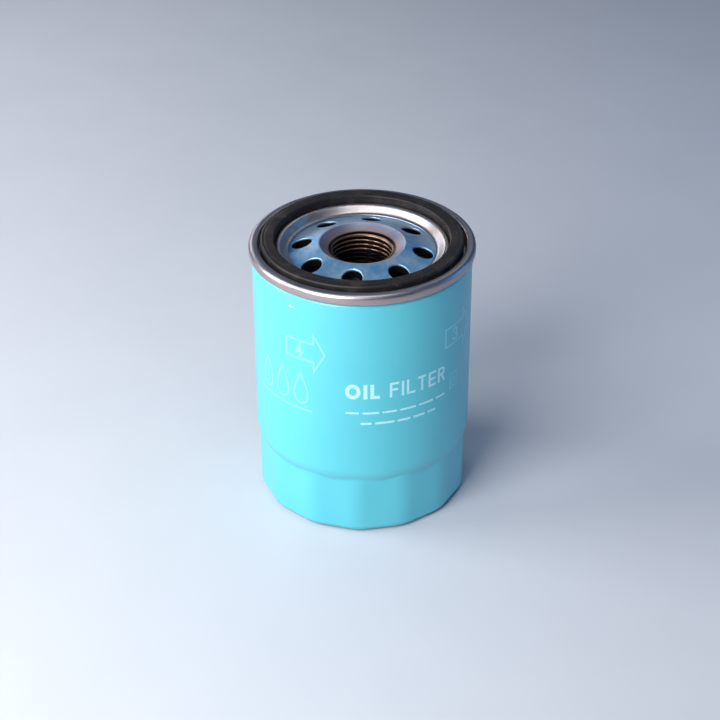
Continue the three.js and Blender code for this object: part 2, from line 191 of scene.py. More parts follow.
class Finish:
    # A material: one Principled shader, and what varies over the surface feeding it.
    def __init__(self, name, colour, roughness, metallic=0.0, **fixed):
        self.material = bpy.data.materials.new(name)
        self.material.use_nodes = True
        self.tree = self.material.node_tree
        self.shader = self.tree.nodes["Principled BSDF"]
        self.set("Base Color", (*colour, 1))
        self.set("Roughness", roughness)
        self.set("Metallic", metallic)
        for socket, value in fixed.items():
            self.set(socket.replace("_", " "), value)

    def set(self, socket, value):
        self.plug(self.shader.inputs[socket], value)

    def plug(self, target, value):
        if isinstance(value, Signal):
            self.tree.links.new(value.socket, target)
        else:
            target.default_value = value

    def node(self, kind, settings, inputs, output=0):
        made = self.tree.nodes.new("ShaderNode" + kind)
        for key, value in settings.items():
            setattr(made, key, value)
        for socket, value in inputs.items():
            self.plug(made.inputs[socket], value)
        return Signal(self, made.outputs[output])

    def maths(self, operation, first, second=0.0):
        return self.node("Math", {"operation": operation}, {0: first, 1: second})

    def place(self):
        return self.node("TexCoord", {}, {}, "Object")

    def axes(self):
        place = self.place()
        return [self.node("SeparateXYZ", {}, {0: place}, axis) for axis in "XYZ"]

    def facing(self):
        normal = self.node("NewGeometry", {}, {}, "Normal")
        return [self.node("SeparateXYZ", {}, {0: normal}, axis) for axis in "XYZ"]

    def radius(self):
        x, y, _ = self.axes()
        return (x * x + y * y) ** 0.5

    def grain(self, size, detail=2.0, rough=0.5, stretch=(1, 1, 1)):
        # Noise whose blotches are about size millimetres across.
        scaled = self.node("VectorMath", {"operation": "MULTIPLY"}, {0: self.place(), 1: stretch})
        return self.node("TexNoise", {}, {"Vector": scaled, "Scale": 1 / (size * mm), "Detail": detail,
                                          "Roughness": rough}, "Fac")

    def between(self, share, first, second):
        # Mixes two colours by a value.
        return self.node("Mix", {"data_type": "RGBA"}, {0: share, 6: first, 7: second}, 2)

    def step(self, value, low, high):
        return self.node("MapRange", {"interpolation_type": "SMOOTHSTEP"},
                         {"Value": value, "From Min": low, "From Max": high})

    def bump(self, height, depth, base=None):
        # Depth is the relief's height in millimetres.
        inputs = {"Height": height, "Distance": depth * mm, "Strength": 1.0}
        if base is not None:
            inputs["Normal"] = base
        return self.node("Bump", {}, inputs)


def paleFloor():
    finish = Finish("paleFloor", studio["floorLight"][:3], 0.6)
    speck = finish.grain(40, 3)
    finish.set("Base Color", finish.between(speck, studio["floorDark"], studio["floorLight"]))
    return finish.material


def blueEnamel():
    paint = {
        "light": (0.090, 0.54, 0.64, 1),
        "deep": (0.068, 0.495, 0.605, 1),
        "scuff": (0.30, 0.62, 0.70, 1),
        "whiteMark": (0.75, 0.86, 0.88, 1),
        "lacquer": (0.58, 0.47, 0.28, 1),
        "markAngle": -39,
        "markHeight": 77.6,
        "markRadius": 1.0,
        "footWear": 2.2,
        "rubFrom": 78.5,
        "rubTo": 81.5,
    }
    finish = Finish("blueEnamel", paint["light"][:3], 0.42, Coat_Weight=0.3, Coat_Roughness=0.12,
                    Specular_IOR_Level=0.8)
    cloud = finish.grain(16, 2)
    peel = finish.grain(1.1, 1.5, 0.4)
    drawn = finish.grain(0.9, 2, 0.6, (1, 1, 0.05))
    x, y, z = finish.axes()
    scratches = finish.step(finish.grain(0.35, 3, 0.6, (0.25, 0.25, 2.2)), 0.66, 0.74)
    nearFoot = 1 - finish.step(z, 0.2 * mm, paint["footWear"] * mm)
    worn = (scratches * nearFoot).clamped()
    body = finish.between(cloud, paint["deep"], paint["light"])
    # a short whitish mark high on the left and a faint rub under the seam
    radius = reach("canister", 20, 60)[1]
    markAt = Vector(polar(radius, math.radians(paint["markAngle"]), paint["markHeight"])) * mm
    apart = finish.node("VectorMath", {"operation": "SUBTRACT"}, {0: finish.place(), 1: markAt}, 0)
    flatter = finish.node("VectorMath", {"operation": "MULTIPLY"}, {0: apart, 1: (1, 1, 2.4)}, 0)
    far = finish.node("VectorMath", {"operation": "LENGTH"}, {0: flatter}, 1)
    ragged = finish.grain(0.9, 3, 0.7)
    whiteMark = finish.step(paint["markRadius"] * mm - far + (ragged - 0.5) * (3.4 * mm), 0, 0.3 * mm)
    smeared = finish.step(finish.grain(2.2, 3, 0.65, (1, 1, 2.5)), 0.52, 0.7)
    rub = finish.step(z, paint["rubFrom"] * mm, paint["rubTo"] * mm) * smeared
    scuffed = finish.between((worn * 0.7 + rub * 0.45).clamped(), body, paint["scuff"])
    whiteMarked = finish.between(whiteMark * 0.8, scuffed, paint["whiteMark"])
    # the inside keeps its clear lacquer over bare steel
    across, along, up = finish.facing()
    outward = (across * x + along * y) * 50 - up * (1 - finish.step(z, 25 * mm, 30 * mm))
    lacquered = 1 - finish.step(outward, -0.1, 0.1)
    finish.set("Base Color", finish.between(lacquered, whiteMarked, paint["lacquer"]))
    finish.set("Metallic", lacquered * 0.85)
    finish.set("Roughness", 0.40 + cloud * 0.08 + worn * 0.2)
    finish.set("Normal", finish.bump(drawn, 0.004, finish.bump(peel, 0.012)))
    return finish.material


def tinplate():
    metal = {
        "bright": (0.64, 0.59, 0.58, 1),
        "warm": (0.46, 0.34, 0.24, 1),
        "cool": (0.54, 0.56, 0.63, 1),
        "rolled": (0.46, 0.385, 0.385, 1),
        # the cool grey below is painted: a reflection on the seam's top and shade at the lip's foot
        "coolReflectionShade": (0.34, 0.36, 0.41, 1),
        "ringSpacing": 0.32,
    }
    finish = Finish("tinplate", metal["bright"][:3], 0.3, 1.0)
    blotch = finish.grain(7, 3, 0.55)
    streak = finish.step(finish.grain(4.5, 3, 0.6, (1, 1, 2.4)), 0.5, 0.7)
    radius = finish.radius()
    z = finish.axes()[2]
    top = seamLayers()["top"]
    onSeam = finish.step(radius, 31.0 * mm, 31.8 * mm)
    onSide = 1 - finish.step(z, (top - 1.3) * mm, (top - 0.2) * mm)
    shade = finish.between(finish.step(blotch, 0.35, 0.65), metal["bright"], metal["cool"])
    leftSide = 1 - finish.step(finish.axes()[0], -24 * mm, 6 * mm)
    lip = finish.between(streak * (0.2 + leftSide * 0.5), shade, metal["warm"])
    # painted shade: the lip's foot is darkened where it meets the plate
    lip = finish.between(1 - finish.step(radius, 22.35 * mm, 23.3 * mm), lip, metal["coolReflectionShade"])
    # painted reflection: the seam's top is painted a cooler, darker grey than its side
    rolled = finish.between((onSide * 0.8 + blotch * 0.4).clamped(), metal["coolReflectionShade"], metal["rolled"])
    finish.set("Base Color", finish.between(onSeam, lip, rolled))
    rings = finish.grain(0.16, 2, 0.5, (1, 1, 0.2))
    lines = (radius * (turn / (metal["ringSpacing"] * mm)) + blotch * 6).sine()
    finish.set("Roughness", 0.27 + blotch * 0.16 + rings * 0.05)
    finish.set("Normal", finish.bump(lines, 0.0006, finish.bump(rings, 0.0025)))
    return finish.material


def blueZinc():
    metal = {
        "blue": (0.13, 0.39, 0.68, 1),
        "grey": (0.36, 0.53, 0.71, 1),
        "hub": (0.25, 0.26, 0.37, 1),
        "copper": (0.33, 0.21, 0.16, 1),
        # the edge colour is a painted highlight on the hub's crest
        "edge": (0.70, 0.70, 0.76, 1),
        "bronze": (0.42, 0.27, 0.19, 1),
        # the dark colour is painted shade in the thread's grooves and towards the bore's foot
        "dark": (0.008, 0.006, 0.006, 1),
        # the next colour is painted shade inside the oil holes and underneath
        "holeShade": (0.022, 0.015, 0.012, 1),
        "turnedSpacing": 0.45,
        "coneFoot": 21.7,
        "coneSlope": 0.338,
        "flangeDrop": 2.87,
    }
    finish = Finish("blueZinc", metal["blue"][:3], 0.34, 0.9)
    cloud = finish.grain(7, 3, 0.55)
    spangle = finish.grain(1.6, 2, 0.5)
    radius = finish.radius()
    z = finish.axes()[2]
    top = reach("tapping_plate")[3]
    # painted reflection: the back of the plate is painted paler and greyer
    backReflectionGrey = finish.step(finish.axes()[1], 2 * mm, 14 * mm) * 0.3
    clouded = finish.step(cloud + spangle * 0.35 + backReflectionGrey, 0.5, 0.88)
    mottled = finish.between(clouded, metal["blue"], metal["grey"])
    hub = 1 - finish.step(radius, 12.8 * mm, 13.6 * mm)
    turned = (radius * (turn / (metal["turnedSpacing"] * mm)) + cloud * 5).sine() * 0.5 + 0.5
    funnel = finish.between((1 - finish.step(radius, 10.7 * mm, 12.2 * mm)) * (0.55 + cloud * 0.5),
                            metal["hub"], metal["copper"])
    raised = finish.between(hub * 0.9, mottled, funnel)
    # painted highlight: a bright line along the hub's crest
    rim = finish.step(radius, 12.75 * mm, 13.0 * mm) * (1 - finish.step(radius, 13.15 * mm, 13.45 * mm))
    raised = finish.between(rim * 0.7, raised, metal["edge"])
    # the bore is bronze on the thread's crests, with painted shade in its grooves and towards its foot
    bore = 1 - finish.step(radius, 10.1 * mm, 10.5 * mm)
    groove = finish.step(radius, 9.22 * mm, 9.42 * mm)
    depth = 1 - finish.step(z, (top - 8.8) * mm, (top - 7.6) * mm)
    shade = 1 - finish.step(z, (top - 9.5) * mm, (top - 2.5) * mm)
    dim = (groove + depth + shade * 0.45).clamped()
    thread = finish.between(dim, metal["bronze"], metal["dark"])
    # inside the oil holes and underneath, the plate is painted dark as shade
    flange = (top - metal["flangeDrop"]) * mm
    cone = (metal["coneFoot"] * mm - radius) * metal["coneSlope"] + flange
    surface = finish.maths("MAXIMUM", cone, flange)
    inside = finish.step(surface - z, 0.3 * mm, 0.75 * mm) * (1 - hub)
    body = finish.between(bore, raised, thread)
    finish.set("Base Color", finish.between(inside, body, metal["holeShade"]))
    finish.set("Roughness", 0.38 + cloud * 0.16 - bore * 0.1)
    pits = finish.grain(0.35, 3, 0.6)
    lines = finish.bump(turned * hub, 0.004)
    finish.set("Normal", finish.bump(spangle, 0.006, finish.bump(pits, 0.006, lines)))
    return finish.material


def gasketRubber():
    rubber = {
        "dark": (0.009, 0.008, 0.009, 1),
        # the lighter patch colour below is part dust and part painted sheen
        "dustAndSheen": (0.030, 0.024, 0.021, 1),
        "dust": (0.26, 0.22, 0.17, 1),
    }
    finish = Finish("gasketRubber", rubber["dark"][:3], 0.46, Specular_IOR_Level=0.32)
    cloud = finish.grain(5, 3, 0.6)
    skin = finish.grain(0.22, 3, 0.65)
    dust = finish.step(finish.grain(0.45, 1, 0.5), 0.70, 0.76) * finish.step(cloud, 0.45, 0.6)
    # the lighter brownish patches are part dust, part painted sheen
    body = finish.between(finish.step(cloud, 0.45, 0.75), rubber["dark"], rubber["dustAndSheen"])
    finish.set("Base Color", finish.between(dust * 0.6, body, rubber["dust"]))
    finish.set("Roughness", 0.36 + cloud * 0.2 + skin * 0.06)
    finish.set("Normal", finish.bump(skin, 0.012, finish.bump(cloud, 0.05)))
    return finish.material


def printInk(name, full, thin):
    finish = Finish(name, full, 0.4)
    patch = finish.grain(0.35, 2, 0.5)
    finish.set("Base Color", finish.between(finish.step(patch, 0.5, 0.72), (*full, 1), (*thin, 1)))
    finish.set("Roughness", 0.34 + patch * 0.12)
    return finish.material


def stampedSteel(name, colour=(0.60, 0.61, 0.61), roughness=0.3):
    finish = Finish(name, colour, roughness, 1.0)
    cloud = finish.grain(6, 3, 0.55)
    drawn = finish.grain(0.5, 3, 0.6, (1, 1, 0.12))
    dim = tuple(c * 0.72 for c in colour)
    finish.set("Base Color", finish.between(cloud, (*dim, 1), (*colour, 1)))
    finish.set("Roughness", roughness + cloud * 0.16)
    finish.set("Normal", finish.bump(drawn, 0.008))
    return finish.material


def springWire():
    return stampedSteel("springWire", (0.34, 0.35, 0.38), 0.28)


def curedPotting():
    finish = Finish("curedPotting", (0.30, 0.15, 0.06), 0.35, Coat_Weight=0.2, Coat_Roughness=0.2)
    cloud = finish.grain(4, 3, 0.6)
    finish.set("Base Color", finish.between(cloud, (0.22, 0.10, 0.04, 1), (0.38, 0.21, 0.09, 1)))
    finish.set("Roughness", 0.3 + cloud * 0.2)
    finish.set("Normal", finish.bump(cloud, 0.08))
    return finish.material


def filterFibre():
    finish = Finish("filterFibre", (0.60, 0.42, 0.19), 0.85)
    fibre = finish.grain(0.25, 4, 0.7)
    cloud = finish.grain(6, 2)
    matted = (fibre * 0.6 + cloud * 0.4).clamped()
    finish.set("Base Color", finish.between(matted, (0.44, 0.28, 0.11, 1), (0.70, 0.52, 0.27, 1)))
    finish.set("Roughness", 0.8 + fibre * 0.15)
    finish.set("Normal", finish.bump(fibre, 0.05))
    return finish.material


def diaphragmRubber():
    finish = Finish("diaphragmRubber", (0.03, 0.026, 0.024), 0.5)
    cloud = finish.grain(3, 3, 0.6)
    finish.set("Base Color", finish.between(cloud, (0.020, 0.017, 0.016, 1), (0.055, 0.045, 0.040, 1)))
    finish.set("Roughness", 0.42 + cloud * 0.2)
    finish.set("Normal", finish.bump(finish.grain(0.25, 3, 0.6), 0.01))
    return finish.material


def liningCompound():
    finish = Finish("liningCompound", (0.42, 0.36, 0.26), 0.8)
    cloud = finish.grain(1.5, 3, 0.6)
    finish.set("Base Color", finish.between(cloud, (0.34, 0.28, 0.20, 1), (0.48, 0.42, 0.31, 1)))
    finish.set("Normal", finish.bump(cloud, 0.05))
    return finish.material


# Meshes are made in millimetres; angles start at -Y and grow towards +X.
class Skin:
    # The points and faces of one piece, and how it becomes an object.
    def __init__(self):
        self.points = []
        self.faces = []

    def loop(self, points):
        start = len(self.points)
        self.points += points
        return list(range(start, len(self.points)))

    def band(self, first, second, closed=True):
        for i in range(len(first) if closed else len(first) - 1):
            j = (i + 1) % len(first)
            self.faces.append((first[i], first[j], second[j], second[i]))

    def fan(self, loop, point):
        centre = self.loop([point])[0]
        for i, corner in enumerate(loop):
            self.faces.append((corner, loop[(i + 1) % len(loop)], centre))

    def build(self, name, body, finish, slot, stands, sharp=38):
        mesh = bpy.data.meshes.new(name)
        mesh.from_pydata([Vector(p) * mm for p in self.points], [], self.faces)
        tidy = bmesh.new()
        tidy.from_mesh(mesh)
        bmesh.ops.remove_doubles(tidy, verts=tidy.verts, dist=1e-7)
        bmesh.ops.recalc_face_normals(tidy, faces=tidy.faces)
        tidy.to_mesh(mesh)
        tidy.free()
        mesh.shade_smooth()
        mesh.set_sharp_from_angle(angle=math.radians(sharp))
        mesh.materials.append(finish)
        piece = bpy.data.objects.new(name, mesh)
        bpy.context.scene.collection.objects.link(piece)
        if body:
            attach(piece, body)
        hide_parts(*stands)
        return piece


def polar(radius, angle, height):
    return (radius * math.sin(angle), -radius * math.cos(angle), height)


def reach(node, low=-1000, high=1000):
    # Inner and outer radius, bottom and top of the CAD node between two heights.
    points = [v.co / mm for v in frame["nodes"][node].data.vertices]
    kept = [p for p in points if low <= p.z <= high]
    radii = [math.hypot(p.x, p.y) for p in kept]
    return min(radii), max(radii), min(p.z for p in kept), max(p.z for p in kept)


def bent(corners, turnStep=9):
    # Corners are (radius, height) or (radius, height, setback); a setback rounds the corner with an arc.
    line = []
    for i, corner in enumerate(corners):
        here = Vector(corner[:2])
        setback = corner[2] if len(corner) > 2 else 0
        if setback:
            back = (Vector(corners[i - 1][:2]) - here).normalized()
            ahead = (Vector(corners[(i + 1) % len(corners)][:2]) - here).normalized()
            half = math.acos(max(-1, min(1, back.dot(ahead)))) / 2
            centre = here + (back + ahead).normalized() * setback / math.cos(half)
            start = here + back * setback - centre
            end = here + ahead * setback - centre
            swing = math.atan2(start.x * end.y - start.y * end.x, start.dot(end))
            steps = max(2, math.ceil(math.degrees(abs(swing)) / turnStep))
            for s in range(steps + 1):
                a = swing * s / steps
                line.append(centre + Vector((start.x * math.cos(a) - start.y * math.sin(a),
                                             start.x * math.sin(a) + start.y * math.cos(a))))
        else:
            line.append(here)
    return line


def divided(line, longest):
    # Adds points so that no stretch is longer than longest.
    dense = [line[0]]
    for a, b in zip(line, line[1:]):
        parts = max(1, math.ceil((b - a).length / longest))
        dense += [a.lerp(b, s / parts) for s in range(1, parts + 1)]
    return dense


def sheetLoop(line, thickness):
    # The closed outline of a sheet whose middle is the line, with eased edges where it is cut.
    left = []
    right = []
    half = thickness / 2
    last = len(line) - 1
    for i, point in enumerate(line):
        going = (line[min(i + 1, last)] - line[min(i, last - 1)]).normalized()
        coming = (line[max(i, 1)] - line[max(i - 1, 0)]).normalized()
        along = (coming + going).normalized()
        across = Vector((-along.y, along.x)) * half / max(along.dot(coming), 0.3)
        if i in (0, last) and point.x > 1e-6:
            ease = 0.3 * thickness
            inward = along * (ease if i == 0 else -ease)
            rim = [point + across * 0.45, point + across + inward]
            left += rim if i == 0 else rim[::-1]
            rim = [point - across * 0.45, point - across + inward]
            right += rim if i == 0 else rim[::-1]
        else:
            left.append(point + across)
            right.append(point - across)
    return left + right[::-1]


def revolved(profile, segments, shape=None):
    # Turns a profile of (radius, height) about Z; one that begins and ends on the axis closes there.
    skin = Skin()
    onAxis = profile[0][0] < 1e-6 and profile[-1][0] < 1e-6
    loops = []
    for radius, height in profile[1:-1] if onAxis else profile:
        points = []
        for i in range(segments):
            angle = turn * i / segments
            r, z = shape(angle, radius, height) if shape else (radius, height)
            points.append(polar(r, angle, z))
        loops.append(skin.loop(points))
    for first, second in zip(loops, loops[1:]):
        skin.band(first, second)
    if onAxis:
        skin.fan(loops[0], (0, 0, profile[0][1]))
        skin.fan(loops[-1], (0, 0, profile[-1][1]))
    else:
        skin.band(loops[-1], loops[0])
    return skin


def roundedRing(node, edges, segments=144):
    # A square-cut ring in the CAD node's place; edges are its corners' setbacks, from the lower inner one.
    inner, outer, low, high = reach(node)
    places = ((inner, low), (outer, low), (outer, high), (inner, high))
    profile = bent([(*place, edge) for place, edge in zip(places, edges)])
    return revolved([tuple(p) for p in profile], segments)


def ripple(angle, seed, waves, size=1.0):
    # A repeatable, gentle unevenness round the part, about -size to size.
    chance = random.Random(seed)
    total = 0
    for wave in waves:
        total += math.sin(wave * angle + chance.uniform(0, turn)) / len(waves)
    return total * size


# the rolled seam's layers are shared by the canister and the lid
seam = {
    "lidSheet": 0.5,
    "canSheet": 0.45,
    "layerGap": 0.13,
    "bend": 0.4,
    "compoundSpace": 0.35,
    "height": 3.4,
    "topBend": 1.15,
    "lowBend": 0.6,
    "crown": 0.07,
}


def seamLayers():
    outer, top = reach("gasket_retainer")[1::2]
    step = (seam["lidSheet"] + seam["canSheet"]) / 2 + seam["layerGap"]
    skirt = outer - seam["lidSheet"] / 2
    return {
        "skirt": skirt,
        "bodyHook": skirt - step,
        "lidHook": skirt - 2 * step,
        "canNeck": skirt - 3 * step,
        "chuck": skirt - 4 * step,
        "top": top,
        "bottom": top - seam["height"],
        "archTop": top - seam["lidSheet"] - seam["compoundSpace"],
    }


canister = {
    "flats": 14,
    "flatDepth": 1.15,
    "flatCorner": 14.0,
    "flatTurn": -3.2,
    "flatTop": 19.3,
    "shoulderTop": 23.5,
    "creaseRadius": 0.07,
    "edgeRadius": 2.5,
    "recessRadius": 20.0,
    "recessDepth": 1.0,
    "segments": 14 * 24,
}


def flatOutline(angle, radius):
    # Distance from the axis to the rounded many-sided wrench outline.
    half = math.pi / canister["flats"]
    corner = canister["flatCorner"]
    inside = radius - canister["flatDepth"] - corner
    swing = (angle - math.radians(canister["flatTurn"])) % (2 * half) - half
    if abs(swing) <= math.atan2(inside * math.tan(half), inside + corner):
        return (inside + corner) / math.cos(swing)
    centre = inside / math.cos(half)
    rest = half - abs(swing)
    return centre * math.cos(rest) + math.sqrt(corner ** 2 - (centre * math.sin(rest)) ** 2)


def makeCanister():
    layers = seamLayers()
    sheet = seam["canSheet"]
    radius = reach("canister", 2, 60)[1]
    wall = radius - sheet / 2
    floor = sheet / 2
    rise = canister["recessDepth"]
    recess = canister["recessRadius"]
    dimple = 4.0
    drop = wall - layers["canNeck"]
    arch = layers["archTop"] - sheet / 2
    corners = [
        (0, floor + rise - 0.35),
        (dimple, floor + rise - 0.35, 0.5),
        (dimple + 0.9, floor + rise, 0.5),
        (recess - 2 * rise, floor + rise, 1.0),
        (recess, floor, 1.0),
        (wall, floor, canister["edgeRadius"] - sheet / 2),
        (wall, layers["bottom"] - drop, 0.3),
        (layers["canNeck"], layers["bottom"], 0.3),
        (layers["canNeck"], arch, seam["bend"]),
        (layers["bodyHook"], arch, seam["bend"]),
        (layers["bodyHook"], layers["bottom"] + seam["lidSheet"] + seam["layerGap"] + seam["bend"] / 2),
    ]
    line = []
    for a, b in zip(bent(corners), bent(corners)[1:]):
        close = a.x > recess and max(a.y, b.y) > 15 and min(a.y, b.y) < 30
        if close:
            marks = [15 + 0.35 * s for s in range(30)]
            line += [a] + [Vector((a.x, z)) for z in marks if a.y < z < b.y]
        else:
            line.append(a)
    line.append(bent(corners)[-1])

    def press(angle, r, z):
        if r < radius - canister["edgeRadius"] - sheet or z > canister["shoulderTop"]:
            return r, z
        climb = (z - canister["flatTop"]) / (canister["shoulderTop"] - canister["flatTop"])
        shoulder = canister["flatDepth"] * (1 - max(0, min(1, climb))) ** 2
        flat = radius - flatOutline(angle, radius)
        soft = canister["creaseRadius"]
        if climb > 0:
            blend = math.sqrt((shoulder - flat) ** 2 + soft ** 2)
            depth = max(0, (shoulder + flat - blend) / 2 + soft / 2 * (1 - climb))
            depth = min(depth, shoulder + 0.02)
        else:
            depth = flat
        return r - depth, z

    skin = revolved(sheetLoop(divided(line, 7), sheet), canister["segments"], press)
    skin.build("enamelled_canister", "shell", blueEnamel(), "painted_can", ["canister"], 50)


lid = {
    "channelDepth": 3.25,
    "lipRise": 2.1,
    "crestWidth": 1.0,
    "slopeWidth": 2.0,
    "footWidth": 0.8,
    "innerGap": 0.25,
}


def makeLid():
    layers = seamLayers()
    sheet = seam["lidSheet"]
    bend = seam["bend"]
    under = layers["bottom"] + sheet / 2
    over = layers["top"] - sheet / 2
    channel = layers["top"] - lid["channelDepth"] - sheet / 2
    wall = reach("sealing_gasket")[0] - lid["innerGap"] - sheet / 2
    crest = channel + lid["lipRise"]
    corners = [
        (layers["lidHook"], layers["archTop"] - seam["canSheet"] - seam["layerGap"] - bend / 2),
        (layers["lidHook"], under, bend),
        (layers["skirt"], under, seam["lowBend"]),
        (layers["skirt"] + seam["crown"], (under + over) / 2 - 0.25, 0.5),
        (layers["skirt"], over, seam["topBend"]),
        (layers["chuck"], over, 0.6),
        (layers["chuck"], channel, bend),
        (wall, channel, bend),
        (wall, crest, 0.55),
        (wall - lid["crestWidth"], crest, 0.42),
        (wall - lid["crestWidth"] - lid["slopeWidth"], channel, 0.75),
        (wall - lid["crestWidth"] - lid["slopeWidth"] - lid["footWidth"], channel),
    ]

    def uneven(angle, r, z):
        if z > layers["bottom"] - 0.2 and r > layers["lidHook"]:
            return r + ripple(angle, 5, (9, 14, 23), 0.02) - 0.02, z + ripple(angle, 6, (3, 8, 17), 0.012)
        return r, z

    skin = revolved(sheetLoop(divided(bent(corners), 1.2), sheet), 336, uneven)
    skin.build("seamed_lid", "shell", tinplate(), "tinplate", ["gasket_retainer"], 50)


def makeCompound():
    skin = roundedRing("seam_compound", (0.05, 0.05, 0.05, 0.05))
    skin.build("lining_ring", "shell", liningCompound(), "seam_compound", ["seam_compound"])


gasket = {"edge": 0.62, "innerEdge": 0.4, "flashHeight": 0.06, "wear": 0.12}


def makeGasket():
    inner, outer, bottom, top = reach("sealing_gasket")
    edge = gasket["edge"]
    middle = (bottom + top) / 2
    corners = [
        (inner, middle),
        (inner, bottom, 0.3),
        (outer, bottom, 0.3),
        (outer, middle - 0.12),
        (outer + gasket["flashHeight"], middle),
        (outer, middle + 0.12),
        (outer, top, edge),
        (outer - 0.95, top),
        (outer - 1.12, top - 0.07, 0.07),
        (outer - 1.3, top),
        ((inner + outer) / 2, top),
        (inner, top, gasket["innerEdge"]),
    ]

    def worn(angle, r, z):
        if z > top - 0.8:
            edgeShare = abs(r - (inner + outer) / 2) / ((outer - inner) / 2)
            return r, z - ripple(angle, 11, (2, 3, 5, 9)) ** 2 * gasket["wear"] * edgeShare ** 3
        return r, z

    skin = revolved([tuple(p) for p in divided(bent(corners), 0.6)], 288, worn)
    skin.build("sealing_ring", "shell", gasketRubber(), "gasket_rubber", ["sealing_gasket"], 60)


plate = {
    "thickness": 2.6,
    "funnelDepth": 1.84,
    "crestOffset": 3.2,
    "holeGap": 2.2,
    "holes": 8,
    "holeTurn": 80.7,
    "holeRadius": 3.1,
    "innerMargin": 0.75,
    "outerMargin": 0.9,
    "coneGap": 0.1,
    "rimRadius": 0.34,
    "flangeGap": 0.1,
    "softFoot": 0.25,
    "threadMajor": 10.0,
    "threadDepth": 0.812,
    "pitch": 1.5,
    "neckWall": 2.2,
    "mouthEase": 0.45,
    "boreSteps": 110,
    "spans": 24,
    "sides": 12,
}


def threadRadius(angle, height, start, end):
    # Radius of the tapped bore: flat crests, 60 degree flanks, run-out at both ends.
    major = plate["threadMajor"]
    depth = plate["threadDepth"]
    pitch = plate["pitch"]
    phase = abs(((height / pitch - angle / turn) % 1) - 0.5) * pitch
    slope = (phase - pitch / 16) / math.tan(math.pi / 6)
    cut = depth - max(0, min(depth, slope * 0.94))
    fade = max(0, min(1, (height - start) / 0.8)) * max(0, min(1, (end - height) / 0.8))
    return major - depth + cut * fade


